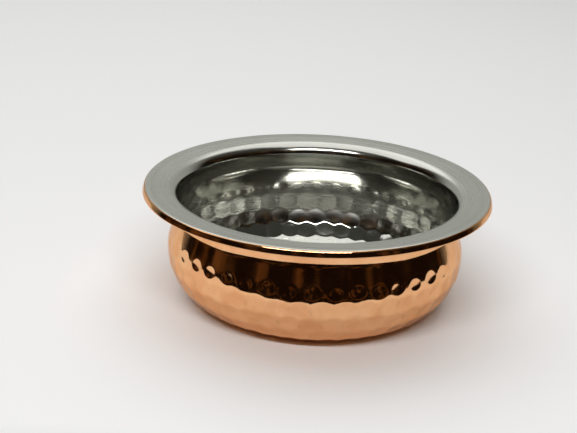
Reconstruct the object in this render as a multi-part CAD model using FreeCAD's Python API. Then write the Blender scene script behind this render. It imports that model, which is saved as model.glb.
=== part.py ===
import FreeCAD, Part
import math
import os

# A hammered handi: a low round serving pot of two sheets, a copper skin over a steel bowl.
# Millimetres, +Z up, the pot stands on Z = 0 with its axis on Z.

# Driving sizes of the outside.
RIM_DIAMETER = 210.0
HEIGHT = 72.0
NECK_RADIUS = 84.2
BOTTOM_ARC_CENTRE_RADIUS = 60.2
BOTTOM_ARC = 26.5
SIDE_ARC = 42.0
SHOULDER_ARC = 20.0
NECK_FILLET = 8.0
FLARE_ARC = 6.0
BEAD_RADIUS = 1.9

# Angles of the outside's normal, in degrees above level, where one stretch of the wall meets the next.
FOOT_LEAN = -65.0
ARC_CHANGE = -41.0
SHOULDER_LEAN = 26.0
FLANGE_NORMAL = 95.0
SEAM_ANGLE = 60.0

# The bead is round in front and on top; behind and below it is pressed flat between these angles.
BEAD_HEEL = 240.0
BEAD_TOE = -60.0

# Heights and places that tie the stretches together.
JOIN_HEIGHT = 58.0
FLARE_CENTRE_RADIUS = NECK_RADIUS + FLARE_ARC

# The two sheets, measured inwards from the outside.
COPPER = 1.1
STEEL = 0.5
WALL = COPPER + STEEL

# Straight steps that stand for each bend of the hidden face between the sheets.
BEND_STEPS = 2
FLARE_STEPS = 3

# The hammering: rings of touching round marks, each ring turned half a mark against the next.
MARKS = 44
RINGS = 5

# The top ring lies this far below the widest line, measured along the wall, so a minus is above it.
FIRST_RING = -4.4

# The distance between rings, as a share of a mark's width, and how far the marks run into each other.
RING_SPACING = 0.825
OVERLAP = 1.15

# The punch: the radius of its rounded face, its length, and its width against that of its mark.
NOSE_RADIUS = 150.0
PUNCH_LENGTH = 4.0
PUNCH_WIDTH = 1.3

AXIS = FreeCAD.Vector(0, 0, 1)
ORIGIN = FreeCAD.Vector(0, 0, 0)


def polar(centre, radius, angle):
    """The point at an angle, in degrees, on a circle in the XZ plane."""
    turn = math.radians(angle)
    return FreeCAD.Vector(centre.x + radius * math.cos(turn), 0, centre.z + radius * math.sin(turn))


def arc(centre, radius, start, end):
    """An arc of a circle in the XZ plane between two angles."""
    middle = polar(centre, radius, (start + end) / 2)
    return Part.Arc(polar(centre, radius, start), middle, polar(centre, radius, end)).toShape()


def chords(centre, radius, start, end, count):
    """Straight steps along an arc, for a face that is hidden between the two sheets."""
    stops = [polar(centre, radius, start + (end - start) * step / count) for step in range(count + 1)]
    return [Part.makeLine(first, last) for first, last in zip(stops, stops[1:])]


def turned(edges):
    """The solid that a closed chain of edges sweeps round the pot's axis."""
    return Part.Face(Part.Wire(edges)).revolve(ORIGIN, AXIS, 360)


# Centres of the arcs of the outside, each worked out so that its stretch runs on smoothly.
bottom_centre = FreeCAD.Vector(BOTTOM_ARC_CENTRE_RADIUS, 0, BOTTOM_ARC)
side_centre = polar(bottom_centre, BOTTOM_ARC - SIDE_ARC, ARC_CHANGE)
shoulder_centre = FreeCAD.Vector(side_centre.x + SIDE_ARC - SHOULDER_ARC, 0, side_centre.z)
shoulder_end = polar(shoulder_centre, SHOULDER_ARC, SHOULDER_LEAN)
fillet_out = NECK_RADIUS + NECK_FILLET
fillet_rise = (
    NECK_FILLET - (fillet_out - shoulder_end.x) * math.cos(math.radians(SHOULDER_LEAN))
) / math.sin(math.radians(SHOULDER_LEAN))
fillet_centre = FreeCAD.Vector(fillet_out, 0, shoulder_end.z + fillet_rise)
bead_centre = FreeCAD.Vector(RIM_DIAMETER / 2 - BEAD_RADIUS, 0, HEIGHT - BEAD_RADIUS)
flange_slope = math.radians(FLANGE_NORMAL - 90)
flare_drop = (
    FLARE_ARC + WALL - BEAD_RADIUS + (bead_centre.x - FLARE_CENTRE_RADIUS) * math.sin(flange_slope)
) / math.cos(flange_slope)
flare_centre = FreeCAD.Vector(FLARE_CENTRE_RADIUS, 0, bead_centre.z - flare_drop)


def pot_body(inset, hidden):
    """The solid inside one face of the wall, from the foot to the join in the neck.

    The inset is measured inwards from the outside. A hidden face is made of straight steps.
    """
    foot_turn = math.radians(90 + FOOT_LEAN)
    foot_top = polar(bottom_centre, BOTTOM_ARC - inset, FOOT_LEAN)
    foot_corner = FreeCAD.Vector(foot_top.x - (foot_top.z - inset) / math.tan(foot_turn), 0, inset)
    shoulder_top = polar(shoulder_centre, SHOULDER_ARC - inset, SHOULDER_LEAN)
    fillet_foot = polar(fillet_centre, NECK_FILLET + inset, 180 + SHOULDER_LEAN)
    neck_foot = polar(fillet_centre, NECK_FILLET + inset, 180)
    neck_top = FreeCAD.Vector(NECK_RADIUS - inset, 0, JOIN_HEIGHT)
    centre_top = FreeCAD.Vector(0, 0, JOIN_HEIGHT)
    centre_foot = FreeCAD.Vector(0, 0, inset)
    edges = [Part.makeLine(centre_foot, foot_corner), Part.makeLine(foot_corner, foot_top)]
    if hidden:
        edges += chords(bottom_centre, BOTTOM_ARC - inset, FOOT_LEAN, ARC_CHANGE, BEND_STEPS)
        edges += chords(side_centre, SIDE_ARC - inset, ARC_CHANGE, 0, BEND_STEPS)
        edges.append(Part.makeLine(polar(shoulder_centre, SHOULDER_ARC - inset, 0), shoulder_top))
        edges.append(Part.makeLine(shoulder_top, fillet_foot))
        edges.append(Part.makeLine(fillet_foot, neck_foot))
    else:
        edges.append(arc(bottom_centre, BOTTOM_ARC - inset, FOOT_LEAN, ARC_CHANGE))
        edges.append(arc(side_centre, SIDE_ARC - inset, ARC_CHANGE, 0))
        edges.append(arc(shoulder_centre, SHOULDER_ARC - inset, 0, SHOULDER_LEAN))
        edges.append(Part.makeLine(shoulder_top, fillet_foot))
        edges.append(arc(fillet_centre, NECK_FILLET + inset, 180 + SHOULDER_LEAN, 180))
    edges.append(Part.makeLine(neck_foot, neck_top))
    edges.append(Part.makeLine(neck_top, centre_top))
    edges.append(Part.makeLine(centre_top, centre_foot))
    return turned(edges)


def ring_places(inset):
    """Where each ring of marks sits: the point on the wall, the lean of the wall there and its bend.

    No bend is taken tighter than the foot's, so the marks on the shoulder are as deep as the others.
    """
    side_length = SIDE_ARC * math.radians(-ARC_CHANGE)
    places = []
    travel = FIRST_RING
    for ring in range(RINGS):
        if travel < 0:
            lean = math.degrees(-travel / SHOULDER_ARC)
            centre, bend = shoulder_centre, SHOULDER_ARC
        elif travel < side_length:
            lean = -math.degrees(travel / SIDE_ARC)
            centre, bend = side_centre, SIDE_ARC
        else:
            lean = ARC_CHANGE - math.degrees((travel - side_length) / BOTTOM_ARC)
            centre, bend = bottom_centre, BOTTOM_ARC
        point = polar(centre, bend - inset, lean)
        places.append((point, lean, max(bend, BOTTOM_ARC)))
        travel += RING_SPACING * 2 * math.pi * polar(centre, bend, lean).x / MARKS
    return places


def punch(point, lean, bend):
    """One round punch, driven in along the wall's normal just deep enough to meet its neighbours."""
    pitch = 2 * math.pi * point.x / MARKS
    spacing = RING_SPACING * pitch
    reach = OVERLAP * (pitch**2 / 4 + spacing**2) / (2 * spacing)
    wall_bend = (1 / bend + 1 / point.x) / 2
    depth = reach**2 / 2 * (wall_bend + 1 / NOSE_RADIUS)
    out = polar(ORIGIN, 1, lean)
    tip = point - out * depth
    shank = Part.makeCylinder(reach * PUNCH_WIDTH, PUNCH_LENGTH, tip, out)
    ball = Part.makeSphere(NOSE_RADIUS, tip + out * NOSE_RADIUS)
    return ball.common(shank)


def hammered(body, inset):
    """The body with every ring of marks, cut in four goes so that no two punches in a go touch."""
    punches = [punch(*place) for place in ring_places(inset)]
    for odd_ring in (0, 1):
        for odd_mark in (0, 1):
            blows = []
            for ring in range(odd_ring, RINGS, 2):
                for mark in range(odd_mark, MARKS, 2):
                    blow = punches[ring].copy()
                    blow.rotate(ORIGIN, AXIS, (mark + odd_ring / 2) * 360 / MARKS)
                    blows.append(blow)
            body = body.cut(Part.makeCompound(blows))
    return body


def flange_point(inset, out):
    """A point on the flange's face at this inset: at the flare, or at the bead if out is true."""
    if out:
        return polar(bead_centre, BEAD_RADIUS - WALL + inset, FLANGE_NORMAL)
    return polar(flare_centre, FLARE_ARC + inset, FLANGE_NORMAL)


def sheet_border(inset, tip):
    """The hidden face between the sheets in the neck, flare and flange, up to its tip in the bead."""
    foot = FreeCAD.Vector(NECK_RADIUS - inset, 0, JOIN_HEIGHT)
    edges = [Part.makeLine(foot, polar(flare_centre, FLARE_ARC + inset, 180))]
    edges += chords(flare_centre, FLARE_ARC + inset, 180, FLANGE_NORMAL, FLARE_STEPS)
    edges.append(Part.makeLine(flange_point(inset, False), flange_point(inset, True)))
    edges.append(Part.makeLine(flange_point(inset, True), tip))
    return edges


def copper_rim():
    """The copper's neck, flare and flange, with its edge rolled into a bead round the steel's edge."""
    foot = FreeCAD.Vector(NECK_RADIUS, 0, JOIN_HEIGHT)
    neck_top = polar(flare_centre, FLARE_ARC, 180)
    back_angle = FLANGE_NORMAL + math.degrees(math.acos((BEAD_RADIUS - WALL) / BEAD_RADIUS))
    back_top = polar(bead_centre, BEAD_RADIUS, back_angle)
    back_foot = polar(bead_centre, BEAD_RADIUS, BEAD_HEEL)
    outer_foot = polar(bead_centre, BEAD_RADIUS, BEAD_TOE)
    seam = polar(bead_centre, BEAD_RADIUS, SEAM_ANGLE)
    tip = polar(bead_centre, BEAD_RADIUS - STEEL, SEAM_ANGLE)
    edges = [
        Part.makeLine(foot, neck_top),
        arc(flare_centre, FLARE_ARC, 180, FLANGE_NORMAL),
        Part.makeLine(flange_point(0, False), back_top),
        Part.makeLine(back_top, back_foot),
        Part.makeLine(back_foot, outer_foot),
        arc(bead_centre, BEAD_RADIUS, BEAD_TOE, SEAM_ANGLE),
        Part.makeLine(seam, tip),
    ]
    edges += sheet_border(COPPER, tip)
    edges.append(Part.makeLine(FreeCAD.Vector(NECK_RADIUS - COPPER, 0, JOIN_HEIGHT), foot))
    return turned(Part.sortEdges(edges)[0])


def steel_rim():
    """The steel's neck, flare and flat flange, its edge bent down into the copper's bead."""
    foot = FreeCAD.Vector(NECK_RADIUS - WALL, 0, JOIN_HEIGHT)
    neck_top = polar(flare_centre, FLARE_ARC + WALL, 180)
    seam = polar(bead_centre, BEAD_RADIUS, SEAM_ANGLE)
    tip = polar(bead_centre, BEAD_RADIUS - STEEL, SEAM_ANGLE)
    edges = sheet_border(COPPER, tip)
    edges.append(Part.makeLine(tip, seam))
    edges.append(Part.makeLine(seam, flange_point(WALL, True)))
    edges.append(Part.makeLine(flange_point(WALL, True), flange_point(WALL, False)))
    edges.append(arc(flare_centre, FLARE_ARC + WALL, FLANGE_NORMAL, 180))
    edges.append(Part.makeLine(neck_top, foot))
    edges.append(Part.makeLine(foot, FreeCAD.Vector(NECK_RADIUS - COPPER, 0, JOIN_HEIGHT)))
    return turned(Part.sortEdges(edges)[0])


def copper_shell():
    """The outer skin: hammered outside, smooth against the bowl that it holds."""
    outside = hammered(pot_body(0, False), 0)
    bowl = outside.cut(pot_body(COPPER, True))
    return bowl.fuse(copper_rim()).removeSplitter().Solids[0]


def steel_liner():
    """The inner bowl: the same marks stand out inside it as low bumps."""
    inside = hammered(pot_body(WALL, False), WALL)
    bowl = pot_body(COPPER, True).cut(inside)
    return bowl.fuse(steel_rim()).removeSplitter().Solids[0]


os.makedirs("parts", exist_ok=True)
copper_shell().exportStep("parts/copper_shell.step")
steel_liner().exportStep("parts/steel_liner.step")
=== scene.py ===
import math
import random

import bmesh
import bpy
from bpy.props import FloatProperty, FloatVectorProperty, IntProperty, PointerProperty
from mathutils import Matrix, Vector


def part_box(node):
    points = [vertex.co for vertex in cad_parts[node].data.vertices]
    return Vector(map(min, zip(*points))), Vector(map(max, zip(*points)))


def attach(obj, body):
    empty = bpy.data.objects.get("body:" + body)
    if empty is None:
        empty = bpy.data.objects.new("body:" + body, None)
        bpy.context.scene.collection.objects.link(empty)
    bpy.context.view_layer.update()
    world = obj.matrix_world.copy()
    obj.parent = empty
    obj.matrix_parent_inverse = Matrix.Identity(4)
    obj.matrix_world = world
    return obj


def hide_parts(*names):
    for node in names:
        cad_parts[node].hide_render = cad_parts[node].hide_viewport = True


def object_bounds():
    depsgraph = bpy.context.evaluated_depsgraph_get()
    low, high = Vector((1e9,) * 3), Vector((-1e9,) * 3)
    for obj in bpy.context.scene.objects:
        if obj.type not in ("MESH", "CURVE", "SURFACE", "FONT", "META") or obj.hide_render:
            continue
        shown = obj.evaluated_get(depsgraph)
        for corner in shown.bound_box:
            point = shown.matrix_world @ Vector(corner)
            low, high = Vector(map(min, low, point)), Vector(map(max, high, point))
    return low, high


bl_info = {
    "name": "Hammered Handi",
    "version": (1, 0, 0),
    "blender": (4, 5, 0),
    "location": "3D View > Sidebar > Handi",
    "description": "A low hammered serving handi with a copper skin and a steel bowl",
    "category": "Object",
}

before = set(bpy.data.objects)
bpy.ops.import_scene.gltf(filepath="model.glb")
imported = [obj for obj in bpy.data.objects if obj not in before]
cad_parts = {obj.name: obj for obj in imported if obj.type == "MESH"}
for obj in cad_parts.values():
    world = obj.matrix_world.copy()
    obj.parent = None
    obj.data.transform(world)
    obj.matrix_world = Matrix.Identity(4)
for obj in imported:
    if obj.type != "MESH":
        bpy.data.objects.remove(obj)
CAD_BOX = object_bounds()
SHELL_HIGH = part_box("copper_shell")[1]
MM = 0.001


class HandiSizes(bpy.types.PropertyGroup):
    """The sizes of the pot that a user would change."""

    rim_radius: FloatProperty(
        name="Rim Radius", description="Half of the pot's width over the rolled bead",
        default=SHELL_HIGH[0], min=0.02, unit="LENGTH")
    height: FloatProperty(
        name="Height", description="From the table to the top of the bead",
        default=CAD_BOX[1][2], min=0.02, unit="LENGTH")
    neck_radius: FloatProperty(
        name="Neck Radius", description="Outside radius of the neck at its narrowest",
        default=84.2 * MM, unit="LENGTH")
    foot_arc: FloatProperty(
        name="Foot Arc", description="Radius of the wall's bend into the flat base",
        default=26.5 * MM, unit="LENGTH")
    foot_arc_centre: FloatProperty(
        name="Foot Arc Centre", description="How far the centre of the foot's bend is from the axis",
        default=59.85 * MM, unit="LENGTH")
    side_arc: FloatProperty(
        name="Side Arc", description="Radius of the belly's side below its widest line",
        default=34.9 * MM, unit="LENGTH")
    shoulder_arc: FloatProperty(
        name="Shoulder Arc", description="Radius of the belly's bend above its widest line",
        default=30 * MM, unit="LENGTH")
    neck_fillet: FloatProperty(
        name="Neck Fillet", description="Radius of the hollow bend from the shoulder into the neck",
        default=8 * MM, unit="LENGTH")
    flare_arc: FloatProperty(
        name="Flare Arc", description="Radius of the bend from the neck out into the flange",
        default=6 * MM, unit="LENGTH")
    bead: FloatProperty(
        name="Bead", description="Height and width of the copper bead rolled round the rim",
        default=3.8 * MM, unit="LENGTH")
    bead_top: FloatProperty(
        name="Bead Top", description="Rounding of the bead's upper edge, where the flange rolls over it",
        default=1.7 * MM, unit="LENGTH")
    bead_foot: FloatProperty(
        name="Bead Foot", description="Rounding of the bead's lower edges",
        default=0.4 * MM, unit="LENGTH")
    copper: FloatProperty(
        name="Copper Thickness", description="Thickness of the copper skin",
        default=1.1 * MM, unit="LENGTH")
    steel: FloatProperty(
        name="Steel Thickness", description="Thickness of the steel bowl",
        default=0.5 * MM, unit="LENGTH")


class HandiHammering(bpy.types.PropertyGroup):
    """How the wall is hammered."""

    marks: IntProperty(
        name="Marks in a Ring", description="How many hammer marks go round the belly",
        default=44, min=8, max=120)
    rings: IntProperty(
        name="Rings", description="How many rings of marks there are, from the shoulder to the foot",
        default=5, min=1, max=12)
    first_ring: FloatProperty(
        name="First Ring", description="Place of the top ring along the wall, above the widest line",
        default=-7.0 * MM, unit="LENGTH")
    spacing: FloatProperty(
        name="Ring Spacing", description="Distance between rings as a share of a mark's width",
        default=0.825, subtype="FACTOR", min=0.5, max=1.5)
    width: FloatProperty(
        name="Mark Width", description="Width of a mark as a share of the room it has in its ring",
        default=1.15, subtype="FACTOR", min=0.3, max=1.6)
    top_width: FloatProperty(
        name="Top Mark Width", description="The same share for the smaller marks of the top ring",
        default=0.78, subtype="FACTOR", min=0.3, max=1.6)
    nose: FloatProperty(
        name="Hammer Nose", description="Radius of the rounded face of the hammer",
        default=70 * MM, unit="LENGTH")
    top_nose: FloatProperty(
        name="Top Hammer Nose", description="Radius of the rounder hammer that makes the top ring",
        default=28 * MM, unit="LENGTH")
    wander: FloatProperty(
        name="Wander", description="How far a blow may land beside its place",
        default=0.8 * MM, unit="LENGTH")
    uneven: FloatProperty(
        name="Uneven Blows", description="How much the blows differ in depth",
        default=0.18, subtype="FACTOR", min=0, max=0.5)


class HandiColours(bpy.types.PropertyGroup):
    """The colours of the metals and of the studio."""

    copper: FloatVectorProperty(
        name="Copper", description="Polished copper of the outside",
        default=(0.93, 0.52, 0.27), subtype="COLOR", min=0, max=1)
    copper_deep: FloatVectorProperty(
        name="Deep Copper", description="The redder copper between the lighter clouds",
        default=(0.85, 0.43, 0.205), subtype="COLOR", min=0, max=1)
    copper_edge: FloatVectorProperty(
        name="Copper at the Edge", description="Tint of the copper where it is seen at a glancing angle",
        default=(0.82, 0.7, 0.6), subtype="COLOR", min=0, max=1)
    # Painted shade: this dark colour is laid along the ridges between the hammer marks. It stands in for the
    # darker reflections that the ridges show.
    ridge: FloatVectorProperty(
        name="Ridge", description="Copper dulled along the ridges between the hammer marks",
        default=(0.5, 0.22, 0.1), subtype="COLOR", min=0, max=1)
    steel: FloatVectorProperty(
        name="Steel", description="Stainless steel of the bowl",
        default=(0.53, 0.53, 0.485), subtype="COLOR", min=0, max=1)
    floor: FloatVectorProperty(
        name="Floor", description="The pale paper that the pot stands on",
        default=(0.95, 0.95, 0.95), subtype="COLOR", min=0, max=1)
    room: FloatVectorProperty(
        name="Room", description="The dim room round the table",
        default=(0.008, 0.005, 0.003), subtype="COLOR", min=0, max=1)
    room_patches: FloatVectorProperty(
        name="Room Patches", description="The warmer, lighter places in the room",
        default=(0.1, 0.052, 0.02), subtype="COLOR", min=0, max=1)
    wall: FloatVectorProperty(
        name="Wall", description="The paler wall behind the table",
        default=(0.46, 0.47, 0.445), subtype="COLOR", min=0, max=1)
    ceiling: FloatVectorProperty(
        name="Ceiling", description="The dim ceiling over the table",
        default=(0.06, 0.06, 0.052), subtype="COLOR", min=0, max=1)


# The turned section of the wall, its leans in degrees above level.

FOOT_LEAN = -65.0
ARC_CHANGE = -53.0
SHOULDER_LEAN = 19.0
NECK_LEAN = -7.0
FLANGE_LEAN = 95.0
SEAM_LEAN = 60.0
BEAD_LEAN = 17.0
LEAN_TOLERANCE = 0.001
SHEET_GAP = 0.02 * MM

# How finely it is drawn and turned.

BELLY_LENGTH = 66 * MM
SHOWN_ROWS = 76
HIDDEN_ROWS = 9
STRAIGHT_SHARE = 0.13
SEGMENTS_IN_A_MARK = 14
WELD = 0.001 * MM


def polar(centre, radius, lean):
    """The place in the section at this lean on a circle."""
    turn = math.radians(lean)
    return Vector((centre.x + radius * math.cos(turn), 0, centre.z + radius * math.sin(turn)))


class Section:
    """The arcs of the outside of the wall, worked out so that each stretch runs smoothly on."""

    def __init__(self, sizes):
        self.sizes = sizes
        self.wall = sizes.copper + sizes.steel
        self.side_length = -sizes.side_arc * math.radians(ARC_CHANGE)
        self.foot = Vector((sizes.foot_arc_centre, 0, sizes.foot_arc))
        self.side = polar(self.foot, sizes.foot_arc - sizes.side_arc, ARC_CHANGE)
        self.shoulder = self.side + Vector((sizes.side_arc - sizes.shoulder_arc, 0, 0))
        # The belly's arcs from the foot up, with the leans that each runs between.
        self.arcs = (
            (self.foot, FOOT_LEAN, ARC_CHANGE),
            (self.side, ARC_CHANGE, 0),
            (self.shoulder, 0, SHOULDER_LEAN),
        )
        self.fillet = self.fillet_centre()
        self.toe, self.bead = self.bead_centres()
        self.flare = self.flare_centre()

    def fillet_centre(self):
        """The centre of the hollow bend that the shoulder's straight end runs into."""
        sizes = self.sizes
        start = polar(self.shoulder, sizes.shoulder_arc, SHOULDER_LEAN)
        lean = math.radians(SHOULDER_LEAN)
        out = sizes.neck_radius + sizes.neck_fillet
        rise = (sizes.neck_fillet - (out - start.x) * math.cos(lean)) / math.sin(lean)
        return Vector((out, 0, start.z + rise))

    def bead_centres(self):
        """The centres of the bead's outer roundings, below and above a side that leans back."""
        sizes = self.sizes
        lean = math.radians(BEAD_LEAN)
        toe = Vector((sizes.rim_radius - sizes.bead_foot, 0, sizes.height - sizes.bead + sizes.bead_foot))
        rise = sizes.height - sizes.bead_top - toe.z
        back = (sizes.bead_top - sizes.bead_foot + rise * math.sin(lean)) / math.cos(lean)
        return toe, toe + Vector((-back, 0, rise))

    def flare_centre(self):
        """The centre of the flare, as far up the neck as lets its arc also meet the flange."""
        sizes = self.sizes
        slope = math.radians(FLANGE_LEAN - 90)
        neck = math.radians(NECK_LEAN)
        start = polar(self.fillet, sizes.neck_fillet - sizes.flare_arc, 180 + NECK_LEAN)
        level = self.bead.z - (sizes.flare_arc + self.wall - sizes.bead_top) / math.cos(slope)
        level -= (self.bead.x - start.x) * math.tan(slope)
        climb = (level - start.z) / (math.cos(neck) + math.tan(slope) * math.sin(neck))
        return start + climb * Vector((-math.sin(neck), 0, math.cos(neck)))

    def base_corner(self, inset, level):
        """Where the wall's straight foot comes down to a level."""
        top = polar(self.foot, self.sizes.foot_arc - inset, FOOT_LEAN)
        return Vector((top.x - (top.z - level) / math.tan(math.radians(90 + FOOT_LEAN)), 0, level))

    def travel(self, lean):
        """How far along the outside a lean lies below the widest line."""
        if lean >= 0:
            return -self.sizes.shoulder_arc * math.radians(lean)
        if lean >= ARC_CHANGE:
            return -self.sizes.side_arc * math.radians(lean)
        return self.side_length + self.sizes.foot_arc * math.radians(ARC_CHANGE - lean)

    def lean(self, travel):
        """The lean of the wall at this travel, and the radius of its bend there."""
        if travel < 0:
            lean = math.degrees(-travel / self.sizes.shoulder_arc)
            return min(lean, SHOULDER_LEAN), self.sizes.shoulder_arc
        if travel < self.side_length:
            return -math.degrees(travel / self.sizes.side_arc), self.sizes.side_arc
        below = math.degrees((travel - self.side_length) / self.sizes.foot_arc)
        return ARC_CHANGE - below, self.sizes.foot_arc

    def whereabouts(self, place, inset):
        """The travel and the lean of a point of the belly that is this far inside the outside."""
        straight_foot = polar(self.shoulder, self.sizes.shoulder_arc - inset, SHOULDER_LEAN)
        if place.z > straight_foot.z:
            return self.travel(SHOULDER_LEAN) - (place - straight_foot).length, SHOULDER_LEAN
        for centre, low, high in reversed(self.arcs):
            away = place - centre
            lean = math.degrees(math.atan2(away.z, away.x))
            if low - LEAN_TOLERANCE <= lean <= high + LEAN_TOLERANCE:
                break
        return self.travel(lean), lean


class Chain:
    """A chain of section points, drawn one stretch after another in a mesh being built."""

    def __init__(self, start):
        self.bm = bmesh.new()
        self.travel = self.bm.verts.layers.float.new("travel")
        self.lean = self.bm.verts.layers.float.new("lean")
        self.hammered = self.bm.verts.layers.float.new("hammered")
        self.end = self.bm.verts.new(start)

    def line(self, place, steps=1):
        """A straight stretch to a place."""
        step = (Vector(place) - self.end.co) / steps
        for _ in range(steps):
            made = bmesh.ops.extrude_vert_indiv(self.bm, verts=[self.end])
            bmesh.ops.translate(self.bm, verts=made["verts"], vec=step)
            self.end = made["verts"][0]

    def bend(self, centre, sweep, steps, axis=(0, 1, 0)):
        """A round stretch about a centre, its sweep in degrees of lean."""
        made = bmesh.ops.spin(
            self.bm, geom=[self.end], cent=centre, axis=axis,
            angle=-math.radians(sweep), steps=steps, use_duplicate=False)
        self.end = next(part for part in made["geom_last"] if isinstance(part, bmesh.types.BMVert))


def draw_belly(chain, section, inset, rows, downward):
    """The wall between the foot and the neck at this inset, up from the foot or down to it."""
    sizes = section.sizes
    straight_steps = max(2, round(rows * STRAIGHT_SHARE))
    arcs = section.arcs
    if downward:
        chain.line(polar(section.shoulder, sizes.shoulder_arc - inset, SHOULDER_LEAN), straight_steps)
        arcs = [(centre, high, low) for centre, low, high in reversed(arcs)]
    for centre, start, stop in arcs:
        share = abs(section.travel(stop) - section.travel(start)) / BELLY_LENGTH
        chain.bend(centre, stop - start, max(2, round(rows * share)))
    if not downward:
        chain.line(polar(section.fillet, sizes.neck_fillet + inset, 180 + SHOULDER_LEAN), straight_steps)


def draw_shown_face(section, inset):
    """The face of a sheet that shows: base, belly, neck and flare, up to the flange.

    Each point of the belly notes its travel and lean, for the hammering to follow.
    """
    sizes = section.sizes
    chain = Chain((0, 0, inset))
    chain.line(section.base_corner(inset, inset), steps=3)
    chain.line(polar(section.foot, sizes.foot_arc - inset, FOOT_LEAN), steps=4)
    base = set(chain.bm.verts)
    draw_belly(chain, section, inset, SHOWN_ROWS, downward=False)
    for vert in set(chain.bm.verts) - base:
        vert[chain.travel], vert[chain.lean] = section.whereabouts(vert.co, inset)
        vert[chain.hammered] = 1.0
    chain.bend(section.fillet, NECK_LEAN - SHOULDER_LEAN, steps=8)
    chain.line(polar(section.flare, sizes.flare_arc + inset, 180 + NECK_LEAN), steps=2)
    chain.bend(section.flare, FLANGE_LEAN - 180 - NECK_LEAN, steps=10)
    return chain


def draw_hidden_face(chain, section, shown_inset, gap):
    """The face between the sheets, from the seam in the bead back to the middle of the base."""
    sizes = section.sizes
    inset = sizes.copper + gap
    seam = sizes.bead_top - sizes.steel + gap
    chain.line(polar(section.bead, seam, SEAM_LEAN))
    chain.line(polar(section.bead, seam, FLANGE_LEAN))
    chain.line(polar(section.flare, sizes.flare_arc + inset, FLANGE_LEAN))
    chain.bend(section.flare, 180 + NECK_LEAN - FLANGE_LEAN, steps=4)
    chain.line(polar(section.fillet, sizes.neck_fillet + inset, 180 + NECK_LEAN))
    chain.bend(section.fillet, SHOULDER_LEAN - NECK_LEAN, steps=2)
    draw_belly(chain, section, inset, HIDDEN_ROWS, downward=True)
    chain.line((section.base_corner(shown_inset, 0).x, 0, inset))
    chain.line((0, 0, inset))


def draw_copper(section):
    """The copper skin: the outside, the rolled bead, and back between the sheets."""
    sizes = section.sizes
    chain = draw_shown_face(section, 0)
    # The bead hangs from the flange: down its inner side, under it and up its outer side.
    slope = math.radians(FLANGE_LEAN - 90)
    inner, bottom = sizes.rim_radius - sizes.bead, sizes.height - sizes.bead
    rise = (sizes.bead_top - section.wall) / math.cos(slope) + (inner - section.bead.x) * math.tan(slope)
    chain.line((inner, 0, section.bead.z + rise), steps=2)
    heel = Vector((inner + sizes.bead_foot, 0, bottom + sizes.bead_foot))
    chain.line(polar(heel, sizes.bead_foot, 180), steps=2)
    chain.bend(heel, 90, steps=4)
    chain.line(polar(section.toe, sizes.bead_foot, 270), steps=2)
    chain.bend(section.toe, 90 + BEAD_LEAN, steps=6)
    chain.line(polar(section.bead, sizes.bead_top, BEAD_LEAN), steps=4)
    chain.bend(section.bead, SEAM_LEAN - BEAD_LEAN, steps=8)
    draw_hidden_face(chain, section, 0, 0)
    return chain


def draw_steel(section):
    """The steel bowl: the inside, the flange and its edge in the bead, and back just clear of the skin."""
    sizes = section.sizes
    chain = draw_shown_face(section, section.wall)
    chain.line(polar(section.bead, sizes.bead_top, FLANGE_LEAN), steps=3)
    chain.bend(section.bead, SEAM_LEAN - FLANGE_LEAN, steps=6)
    draw_hidden_face(chain, section, section.wall, SHEET_GAP)
    return chain


def turn_round(chain, marks):
    """Turn the drawn section round the axis, first one mark's width and then once round."""
    bm = chain.bm
    width = math.tau / marks
    bmesh.ops.spin(
        bm, geom=bm.verts[:] + bm.edges[:], cent=(0, 0, 0), axis=(0, 0, 1),
        angle=width, steps=SEGMENTS_IN_A_MARK, use_duplicate=False)
    bmesh.ops.remove_doubles(bm, verts=bm.verts[:], dist=WELD)
    bmesh.ops.spin(
        bm, geom=bm.verts[:] + bm.edges[:] + bm.faces[:], cent=(0, 0, 0), axis=(0, 0, 1),
        angle=math.tau - width, steps=marks - 1, use_duplicate=True)
    bmesh.ops.remove_doubles(bm, verts=bm.verts[:], dist=WELD)


# The hammering.

BLOW_SEED = 11
BLOW_MARGIN = 1.3

# Where two marks are this near in depth, the ridge between them is rounded, and gets painted shade.
RIDGE_ROUNDED = 0.03 * MM
RIDGE_SHADE_SPAN = 0.35 * MM


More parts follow.
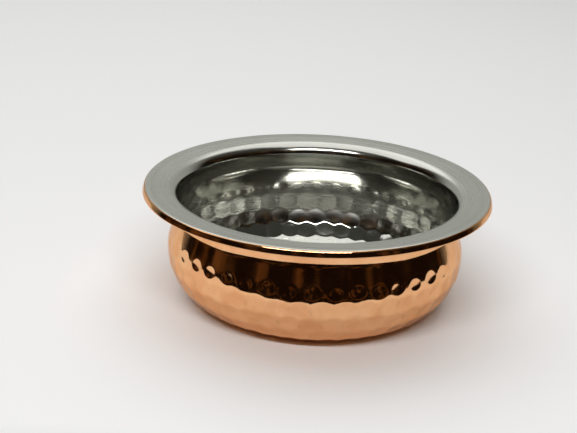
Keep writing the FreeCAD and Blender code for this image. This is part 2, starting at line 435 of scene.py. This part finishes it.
class Blows:
    """Every hammer mark, ring by ring: where it lands round the pot and along the wall, and how deep."""

    def __init__(self, section, hammering):
        chance = random.Random(BLOW_SEED)
        self.rings = []
        travel = hammering.first_ring
        for ring in range(hammering.rings):
            lean, bend = section.lean(travel)
            centre = section.foot if lean < ARC_CHANGE else section.side if lean < 0 else section.shoulder
            radius = polar(centre, bend, lean).x
            pitch = math.tau * radius / hammering.marks
            width = hammering.width if ring else hammering.top_width
            nose = hammering.nose if ring else hammering.top_nose
            depth = (width * pitch / 2) ** 2 / 2 * (1 / radius + 1 / nose)
            reach = math.sqrt(2 * depth / (1 / bend + 1 / nose))
            stagger = ring % 2 / 2
            blows = []
            for mark in range(hammering.marks):
                turn = (mark + stagger) * math.tau / hammering.marks
                blows.append((
                    turn + chance.uniform(-1, 1) * hammering.wander / radius,
                    travel + chance.uniform(-1, 1) * hammering.wander,
                    depth * (1 - hammering.uneven * chance.random()),
                ))
            self.rings.append((travel, radius, bend, nose, reach, stagger, blows))
            travel += hammering.spacing * pitch

    def depth(self, turn, travel, shrink):
        """How deep the wall lies under its turned shape here, and how much painted shade its ridge gets
        here.
        """
        deepest, second = 0.0, 0.0
        for ring_travel, radius, bend, nose, reach, stagger, blows in self.rings:
            if abs(travel - ring_travel) > reach * BLOW_MARGIN / shrink:
                continue
            count = len(blows)
            place = turn / math.tau * count - stagger
            for step in (-1, 0, 1, 2):
                blow_turn, blow_travel, depth = blows[(math.floor(place) + step) % count]
                across = (turn - blow_turn + math.pi) % math.tau - math.pi
                across *= radius * shrink
                along = (travel - blow_travel) * shrink
                rise = (across**2 * (1 / radius + 1 / nose) + along**2 * (1 / bend + 1 / nose)) / 2
                here = depth - rise
                if here > deepest:
                    deepest, second = here, deepest
                elif here > second:
                    second = here
        rounding = max(RIDGE_ROUNDED - (deepest - second), 0) / RIDGE_ROUNDED
        # The share of painted shade on a ridge, highest where two marks meet at the same depth.
        ridge_shade = max(RIDGE_SHADE_SPAN - (deepest - second), 0) / RIDGE_SHADE_SPAN if second > 0 else 0.0
        return deepest + rounding * rounding * RIDGE_ROUNDED / 4, ridge_shade


def hammer(chain, section, hammering, inset):
    """Press the marks into the belly of the turned wall, and note how much painted shade its ridges get."""
    blows = Blows(section, hammering)
    # The ridge attribute holds where the copper's ridges get painted shade.
    ridge = chain.bm.verts.layers.float.new("ridge")
    shrink = 1 - inset / section.sizes.side_arc
    for vert in chain.bm.verts:
        if vert[chain.hammered] < 0.5:
            continue
        turn = math.atan2(vert.co.y, vert.co.x) % math.tau
        depth, ridge_shade = blows.depth(turn, vert[chain.travel], shrink)
        lean = math.radians(vert[chain.lean])
        outward = Vector((math.cos(lean) * math.cos(turn), math.cos(lean) * math.sin(turn), math.sin(lean)))
        vert.co -= outward * depth
        vert[ridge] = ridge_shade


def add_object(name, bm, material):
    """The finished mesh, smooth and of one material, as an object at the origin."""
    for face in bm.faces:
        face.smooth = True
    mesh = bpy.data.meshes.new(name)
    bm.to_mesh(mesh)
    bm.free()
    mesh.materials.append(material)
    added = bpy.data.objects.new(name, mesh)
    bpy.context.scene.collection.objects.link(added)
    return added


def add_piece(name, bm, material, node):
    """A piece of the pot, its faces turned outward, in place of its plain solid."""
    bmesh.ops.recalc_face_normals(bm, faces=bm.faces[:])
    if bm.calc_volume(signed=True) < 0:
        bmesh.ops.reverse_faces(bm, faces=bm.faces[:])
    piece = add_object(name, bm, material)
    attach(piece, "root")
    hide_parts(node)


# Finishes.

SATIN_STARTS = 83.5 * MM
SATIN_FULL = 87.5 * MM


def new_material(name):
    """An empty node material with its surface shader."""
    material = bpy.data.materials.new(name)
    material.use_nodes = True
    nodes = material.node_tree.nodes
    nodes.clear()
    output = nodes.new("ShaderNodeOutputMaterial")
    shader = nodes.new("ShaderNodeBsdfPrincipled")
    material.node_tree.links.new(shader.outputs["BSDF"], output.inputs["Surface"])
    return material, material.node_tree, shader


def noise(tree, vector, scale, detail=2.0, roughness=0.5):
    """A noise texture on a vector."""
    texture = tree.nodes.new("ShaderNodeTexNoise")
    texture.inputs["Scale"].default_value = scale
    texture.inputs["Detail"].default_value = detail
    texture.inputs["Roughness"].default_value = roughness
    tree.links.new(vector, texture.inputs["Vector"])
    return texture.outputs["Fac"]


def ranged(tree, value, low, high, to_low=0.0, to_high=1.0):
    """A value remapped from one range to another and held inside it."""
    node = tree.nodes.new("ShaderNodeMapRange")
    node.clamp = True
    for name, number in (("From Min", low), ("From Max", high), ("To Min", to_low), ("To Max", to_high)):
        node.inputs[name].default_value = number
    tree.links.new(value, node.inputs["Value"])
    return node.outputs["Result"]


def calculated(tree, operation, first, second=0.0):
    """One sum on two values, either of which may be a plain number."""
    node = tree.nodes.new("ShaderNodeMath")
    node.operation = operation
    for socket, value in zip(node.inputs, (first, second)):
        if isinstance(value, bpy.types.NodeSocket):
            tree.links.new(value, socket)
        else:
            socket.default_value = value
    return node.outputs["Value"]


def mixed(tree, factor, first, second):
    """Two colours blended by a factor, either of which may be a plain colour."""
    node = tree.nodes.new("ShaderNodeMix")
    node.data_type = "RGBA"
    # The node has a set of sockets for each type: its colours go in at 6 and 7 and come out at 2.
    tree.links.new(factor, node.inputs[0])
    for socket, colour in ((node.inputs[6], first), (node.inputs[7], second)):
        if isinstance(colour, bpy.types.NodeSocket):
            tree.links.new(colour, socket)
        else:
            socket.default_value = (*colour, 1.0)
    return node.outputs[2]


def darkened(colour, share):
    """A colour brought down to a share of itself."""
    return tuple(channel * share for channel in colour)


def bumped(tree, shader, height, distance):
    """Fine relief on the shader's normal."""
    node = tree.nodes.new("ShaderNodeBump")
    node.inputs["Distance"].default_value = distance
    tree.links.new(height, node.inputs["Height"])
    tree.links.new(node.outputs["Normal"], shader.inputs["Normal"])


def turned_coordinates(tree, coarse, fine):
    """Object coordinates, the same drawn into fine rings round the axis, and the radius."""
    place = tree.nodes.new("ShaderNodeTexCoord").outputs["Object"]
    split = tree.nodes.new("ShaderNodeSeparateXYZ")
    tree.links.new(place, split.inputs["Vector"])
    x, y, z = split.outputs
    squares = calculated(tree, "ADD", calculated(tree, "POWER", x, 2.0), calculated(tree, "POWER", y, 2.0))
    radius = calculated(tree, "SQRT", squares)
    rings = calculated(tree, "MULTIPLY", radius, fine)
    join = tree.nodes.new("ShaderNodeCombineXYZ")
    tree.links.new(calculated(tree, "ADD", rings, calculated(tree, "MULTIPLY", x, coarse)), join.inputs["X"])
    tree.links.new(calculated(tree, "MULTIPLY", y, coarse), join.inputs["Y"])
    tree.links.new(calculated(tree, "MULTIPLY", z, fine), join.inputs["Z"])
    return place, join.outputs["Vector"], radius


def polished_copper(colours):
    """Bright copper with soft clouds of tint, a faint film of handling, and painted shade along the hammer
    ridges.
    """
    material, tree, shader = new_material("polished copper")
    place, lines, _ = turned_coordinates(tree, coarse=6.0, fine=2600.0)
    clouds = noise(tree, place, 75.0, 3.0, 0.6)
    colour = mixed(tree, ranged(tree, clouds, 0.38, 0.62), colours.copper, colours.copper_deep)
    # Painted shade along the hammer ridges: the ridge attribute, patched by noise, blends in the dark ridge
    # colour.
    ridges = tree.nodes.new("ShaderNodeAttribute")
    ridges.attribute_name = "ridge"
    ridge_shade_strength = ranged(tree, noise(tree, place, 170.0, 3.0), 0.4, 0.65, 0.0, 0.45)
    shaded = calculated(tree, "MULTIPLY", ridges.outputs["Fac"], ridge_shade_strength)
    tree.links.new(mixed(tree, shaded, colour, colours.ridge), shader.inputs["Base Color"])
    shader.inputs["Metallic"].default_value = 1.0
    shader.inputs["Specular Tint"].default_value = (*colours.copper_edge, 1.0)
    polish = noise(tree, lines, 1.0)
    film = ranged(tree, noise(tree, place, 90.0, 4.0, 0.6), 0.35, 0.75, 0.045, 0.11)
    rough = calculated(tree, "ADD", film, ranged(tree, polish, 0.45, 0.8, 0.0, 0.05))
    tree.links.new(rough, shader.inputs["Roughness"])
    relief = calculated(tree, "ADD", noise(tree, place, 160.0), calculated(tree, "MULTIPLY", polish, 0.06))
    bumped(tree, shader, relief, 0.04 * MM)
    return material


def turned_steel(colours):
    """Steel that is satin on the flange, with fine turned lines, and polished in the bowl."""
    material, tree, shader = new_material("turned steel")
    place, lines, radius = turned_coordinates(tree, coarse=4.0, fine=3200.0)
    clouds = ranged(tree, noise(tree, place, 30.0, 3.0), 0.35, 0.65)
    tint = mixed(tree, clouds, colours.steel, darkened(colours.steel, 0.93))
    tree.links.new(tint, shader.inputs["Base Color"])
    shader.inputs["Metallic"].default_value = 1.0
    polish = noise(tree, lines, 1.0)
    flange = ranged(tree, radius, SATIN_STARTS, SATIN_FULL)
    satin = ranged(tree, polish, 0.3, 0.7, 0.24, 0.34)
    mirror = ranged(tree, noise(tree, place, 120.0, 3.0), 0.3, 0.7, 0.07, 0.13)
    extra = calculated(tree, "MULTIPLY", calculated(tree, "SUBTRACT", satin, mirror), flange)
    tree.links.new(calculated(tree, "ADD", mirror, extra), shader.inputs["Roughness"])
    brushing = calculated(tree, "MULTIPLY", calculated(tree, "MULTIPLY", polish, 0.06), flange)
    relief = calculated(tree, "ADD", brushing, noise(tree, place, 110.0))
    bumped(tree, shader, relief, 0.025 * MM)
    return material


def pale_paper(colours):
    """Matt pale paper with a barely seen grain."""
    material, tree, shader = new_material("pale paper")
    place = tree.nodes.new("ShaderNodeTexCoord").outputs["Object"]
    grain = noise(tree, place, 400.0, 3.0)
    colour = mixed(tree, grain, colours.floor, darkened(colours.floor, 0.985))
    tree.links.new(colour, shader.inputs["Base Color"])
    shader.inputs["Roughness"].default_value = 0.9
    shader.inputs["Specular IOR Level"].default_value = 0.0
    return material


# The studio.

IMAGE_WIDTH = 577
FOCAL_PIXELS = 1304.19
SENSOR_WIDTH = 36
CAMERA_DISTANCE = 0.8
CAMERA_ELEVATION = 21.979
CAMERA_ROLL = 2.4476
CAMERA_AIM = Vector((-0.016704, 0, 0.050892))
CAMERA_PIVOT_HEIGHT = 0.035
CAMERA_CLIP_END = 20

FLOOR_FRONT = -0.17
FLOOR_EDGE_BEND = 0.03
FLOOR_HANGS_TO = -0.5
FLOOR_BACK = 1.1
FLOOR_WIDTH = 1.0


def stand_camera():
    """The camera at the photograph's distance, height and slight roll."""
    data = bpy.data.cameras.new("camera")
    data.sensor_width = SENSOR_WIDTH
    data.lens = SENSOR_WIDTH * FOCAL_PIXELS / IMAGE_WIDTH
    data.clip_end = CAMERA_CLIP_END
    rise = math.radians(CAMERA_ELEVATION)
    height = CAMERA_PIVOT_HEIGHT + CAMERA_DISTANCE * math.sin(rise)
    place = Vector((0, -CAMERA_DISTANCE * math.cos(rise), height))
    forward = (CAMERA_AIM - place).normalized()
    right = forward.cross(Vector((0, 0, 1))).normalized()
    upward = right.cross(forward)
    roll = math.radians(CAMERA_ROLL)
    across = right * math.cos(roll) + upward * math.sin(roll)
    above = upward * math.cos(roll) - right * math.sin(roll)
    turned = Matrix((across, above, -forward)).transposed().to_4x4()
    camera = bpy.data.objects.new("camera", data)
    camera.matrix_world = Matrix.Translation(place) @ turned
    bpy.context.scene.collection.objects.link(camera)
    bpy.context.scene.camera = camera


def hang_lamp(name, place, aim, width, depth, power):
    """A soft rectangular lamp that faces a point."""
    data = bpy.data.lights.new(name, "AREA")
    data.shape = "RECTANGLE"
    data.size = width
    data.size_y = depth
    data.energy = power
    lamp = bpy.data.objects.new(name, data)
    lamp.location = place
    lamp.rotation_euler = (Vector(aim) - Vector(place)).to_track_quat("-Z", "Y").to_euler()
    bpy.context.scene.collection.objects.link(lamp)


def roll_out_floor(colours):
    """The paper on the table, which hangs over its front edge."""
    chain = Chain((0, FLOOR_FRONT - FLOOR_EDGE_BEND, FLOOR_HANGS_TO))
    chain.line((0, FLOOR_FRONT - FLOOR_EDGE_BEND, -FLOOR_EDGE_BEND))
    chain.bend((0, FLOOR_FRONT, -FLOOR_EDGE_BEND), 90, steps=10, axis=(1, 0, 0))
    chain.line((0, FLOOR_BACK, 0))
    bm = chain.bm
    made = bmesh.ops.extrude_edge_only(bm, edges=bm.edges[:])
    moved = [part for part in made["geom"] if isinstance(part, bmesh.types.BMVert)]
    bmesh.ops.translate(bm, verts=moved, vec=(FLOOR_WIDTH, 0, 0))
    bmesh.ops.translate(bm, verts=bm.verts[:], vec=(-FLOOR_WIDTH / 2, 0, 0))
    bmesh.ops.recalc_face_normals(bm, faces=bm.faces[:])
    add_object("floor", bm, pale_paper(colours))


def light_the_room(colours):
    """The room all round: dim with a few warmer patches, a ceiling, and a paler wall behind."""
    world = bpy.data.worlds.new("room")
    world.use_nodes = True
    tree = world.node_tree
    background = tree.nodes["Background"]
    place = tree.nodes.new("ShaderNodeTexCoord").outputs["Generated"]
    split = tree.nodes.new("ShaderNodeSeparateXYZ")
    tree.links.new(place, split.inputs["Vector"])
    patches = ranged(tree, noise(tree, place, 4.6, 3.0), 0.52, 0.66)
    colour = mixed(tree, patches, colours.room, colours.room_patches)
    colour = mixed(tree, ranged(tree, split.outputs["Z"], 0.48, 0.7), colour, colours.ceiling)
    colour = mixed(tree, ranged(tree, split.outputs["Y"], 0.4, 0.7), colour, colours.wall)
    tree.links.new(colour, background.inputs["Color"])
    background.inputs["Strength"].default_value = 1.0
    return world


class HANDI_OT_copper_shell(bpy.types.Operator):
    """Turn and hammer the copper skin with its rolled bead"""

    bl_idname = "handi.copper_shell"
    bl_label = "Copper Shell"

    def execute(self, context):
        scene = context.scene
        section = Section(scene.handi_sizes)
        chain = draw_copper(section)
        turn_round(chain, scene.handi_hammering.marks)
        hammer(chain, section, scene.handi_hammering, 0)
        add_piece("copper_skin", chain.bm, polished_copper(scene.handi_colours), "copper_shell")
        return {"FINISHED"}


class HANDI_OT_steel_liner(bpy.types.Operator):
    """Turn and bump the steel bowl with its satin flange"""

    bl_idname = "handi.steel_liner"
    bl_label = "Steel Liner"

    def execute(self, context):
        scene = context.scene
        section = Section(scene.handi_sizes)
        chain = draw_steel(section)
        turn_round(chain, scene.handi_hammering.marks)
        hammer(chain, section, scene.handi_hammering, section.wall)
        add_piece("steel_bowl", chain.bm, turned_steel(scene.handi_colours), "steel_liner")
        return {"FINISHED"}


class HANDI_OT_stage(bpy.types.Operator):
    """Lay the floor, hang the lamps and stand the camera"""

    bl_idname = "handi.stage"
    bl_label = "Stage"

    def execute(self, context):
        scene = context.scene
        roll_out_floor(scene.handi_colours)
        hang_lamp(
            "front strip light", place=(-0.1, -1.15, 1.25), aim=(0, 0, 0),
            width=1.4, depth=0.16, power=15)
        hang_lamp(
            "top softbox", place=(-0.2, 0.75, 1.5), aim=(0, 0.7, 0),
            width=2.2, depth=2.2, power=20)
        scene.world = light_the_room(scene.handi_colours)
        scene.view_settings.view_transform = "Standard"
        stand_camera()
        return {"FINISHED"}


class HANDI_PT_panel(bpy.types.Panel):
    """Sizes, colours and pieces of the handi"""

    bl_idname = "HANDI_PT_panel"
    bl_label = "Hammered Handi"
    bl_space_type = "VIEW_3D"
    bl_region_type = "UI"
    bl_category = "Handi"

    def draw(self, context):
        layout = self.layout
        scene = context.scene
        for group in (scene.handi_sizes, scene.handi_hammering, scene.handi_colours):
            column = layout.column(align=True)
            for name in type(group).__annotations__:
                column.prop(group, name)
            layout.separator()
        for operator in (HANDI_OT_copper_shell, HANDI_OT_steel_liner, HANDI_OT_stage):
            layout.operator(operator.bl_idname)


CLASSES = (
    HandiSizes, HandiHammering, HandiColours,
    HANDI_OT_copper_shell, HANDI_OT_steel_liner, HANDI_OT_stage, HANDI_PT_panel,
)


def register():
    """Add the classes and hang the settings on the scene."""
    for entry in CLASSES:
        bpy.utils.register_class(entry)
    bpy.types.Scene.handi_sizes = PointerProperty(type=HandiSizes)
    bpy.types.Scene.handi_hammering = PointerProperty(type=HandiHammering)
    bpy.types.Scene.handi_colours = PointerProperty(type=HandiColours)


def unregister():
    """Take the settings and the classes away again."""
    del bpy.types.Scene.handi_colours
    del bpy.types.Scene.handi_hammering
    del bpy.types.Scene.handi_sizes
    for entry in reversed(CLASSES):
        bpy.utils.unregister_class(entry)


def main():
    """Make the pieces and the stage."""
    register()
    bpy.ops.handi.copper_shell()
    bpy.ops.handi.steel_liner()
    bpy.ops.handi.stage()


if __name__ == "__main__":
    main()
